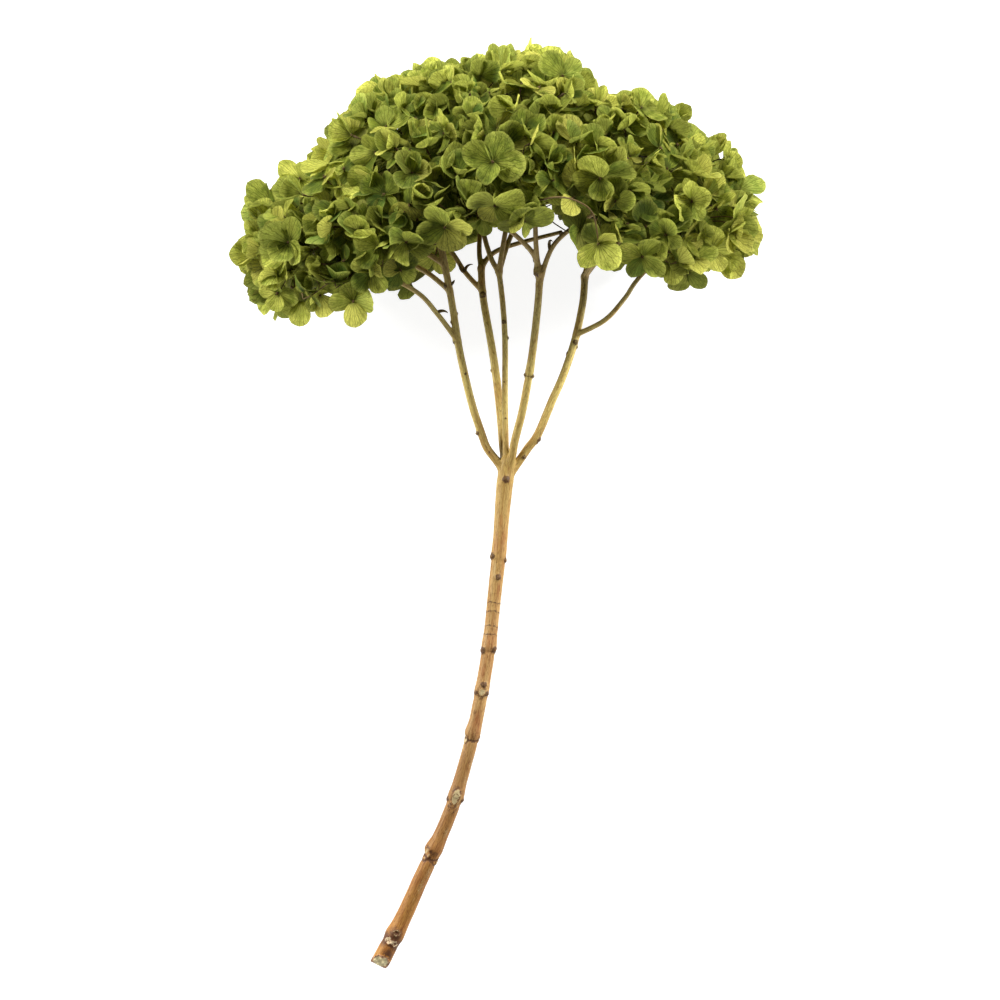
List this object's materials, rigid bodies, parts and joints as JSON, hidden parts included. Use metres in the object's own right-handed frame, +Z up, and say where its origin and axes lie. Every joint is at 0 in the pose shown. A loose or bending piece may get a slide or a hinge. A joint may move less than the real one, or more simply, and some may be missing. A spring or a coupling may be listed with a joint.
{
  "type": "cut hydrangea",
  "caption": "Dried mophead hydrangea on a long curved woody stem, its domed head of broad-sepalled florets carried on spreading rays, lying on its side.",
  "frame": {"origin": "middle of the plant's underside, on the surface it lies on", "axes": "+Y from the cut end towards the flower head, +Z up from the surface, +X across the head"},
  "size_m": [0.2726, 0.4566, 0.1926],
  "materials": {
    "stem_bark": "dry tan-brown bark with paler scars and darker nodes",
    "ray_bark": "dry olive-brown bark, darker towards the head",
    "sepal": "matt, thin, translucent olive-green sepals with fine veins"
  },
  "bodies": {
    "root": {"cyme_far_left_01": "sepal", "cyme_far_left_02": "sepal", "cyme_far_left_03": "sepal", "cyme_far_left_04": "sepal", "cyme_far_left_05": "sepal", "cyme_far_left_06": "sepal", "cyme_far_left_07": "sepal", "cyme_far_left_08": "sepal", "cyme_far_left_09": "sepal", "cyme_far_left_10": "sepal", "cyme_far_left_11": "sepal", "cyme_far_left_12": "sepal", "cyme_far_left_13": "sepal", "cyme_far_right_01": "sepal", "cyme_far_right_02": "sepal", "cyme_far_right_03": "sepal", "cyme_far_right_04": "sepal", "cyme_far_right_05": "sepal", "cyme_far_right_06": "sepal", "cyme_far_right_07": "sepal", "cyme_far_right_08": "sepal", "cyme_far_right_09": "sepal", "cyme_mid_left_01": "sepal", "cyme_mid_left_02": "sepal", "cyme_mid_left_03": "sepal", "cyme_mid_left_04": "sepal", "cyme_mid_left_05": "sepal", "cyme_mid_right_01": "sepal", "cyme_mid_right_02": "sepal", "cyme_mid_right_03": "sepal", "cyme_mid_right_04": "sepal", "cyme_mid_right_05": "sepal", "cyme_mid_right_06": "sepal", "cyme_middle_01": "sepal", "cyme_middle_02": "sepal", "cyme_middle_03": "sepal", "cyme_middle_04": "sepal", "cyme_middle_05": "sepal", "cyme_middle_06": "sepal", "cyme_middle_07": "sepal", "cyme_middle_08": "sepal", "cyme_middle_09": "sepal", "main_stem": "stem_bark", "ray_far_left": "ray_bark", "ray_far_right": "ray_bark", "ray_mid_left": "ray_bark", "ray_mid_right": "ray_bark", "ray_middle": "ray_bark"}
  },
  "joints": []
}
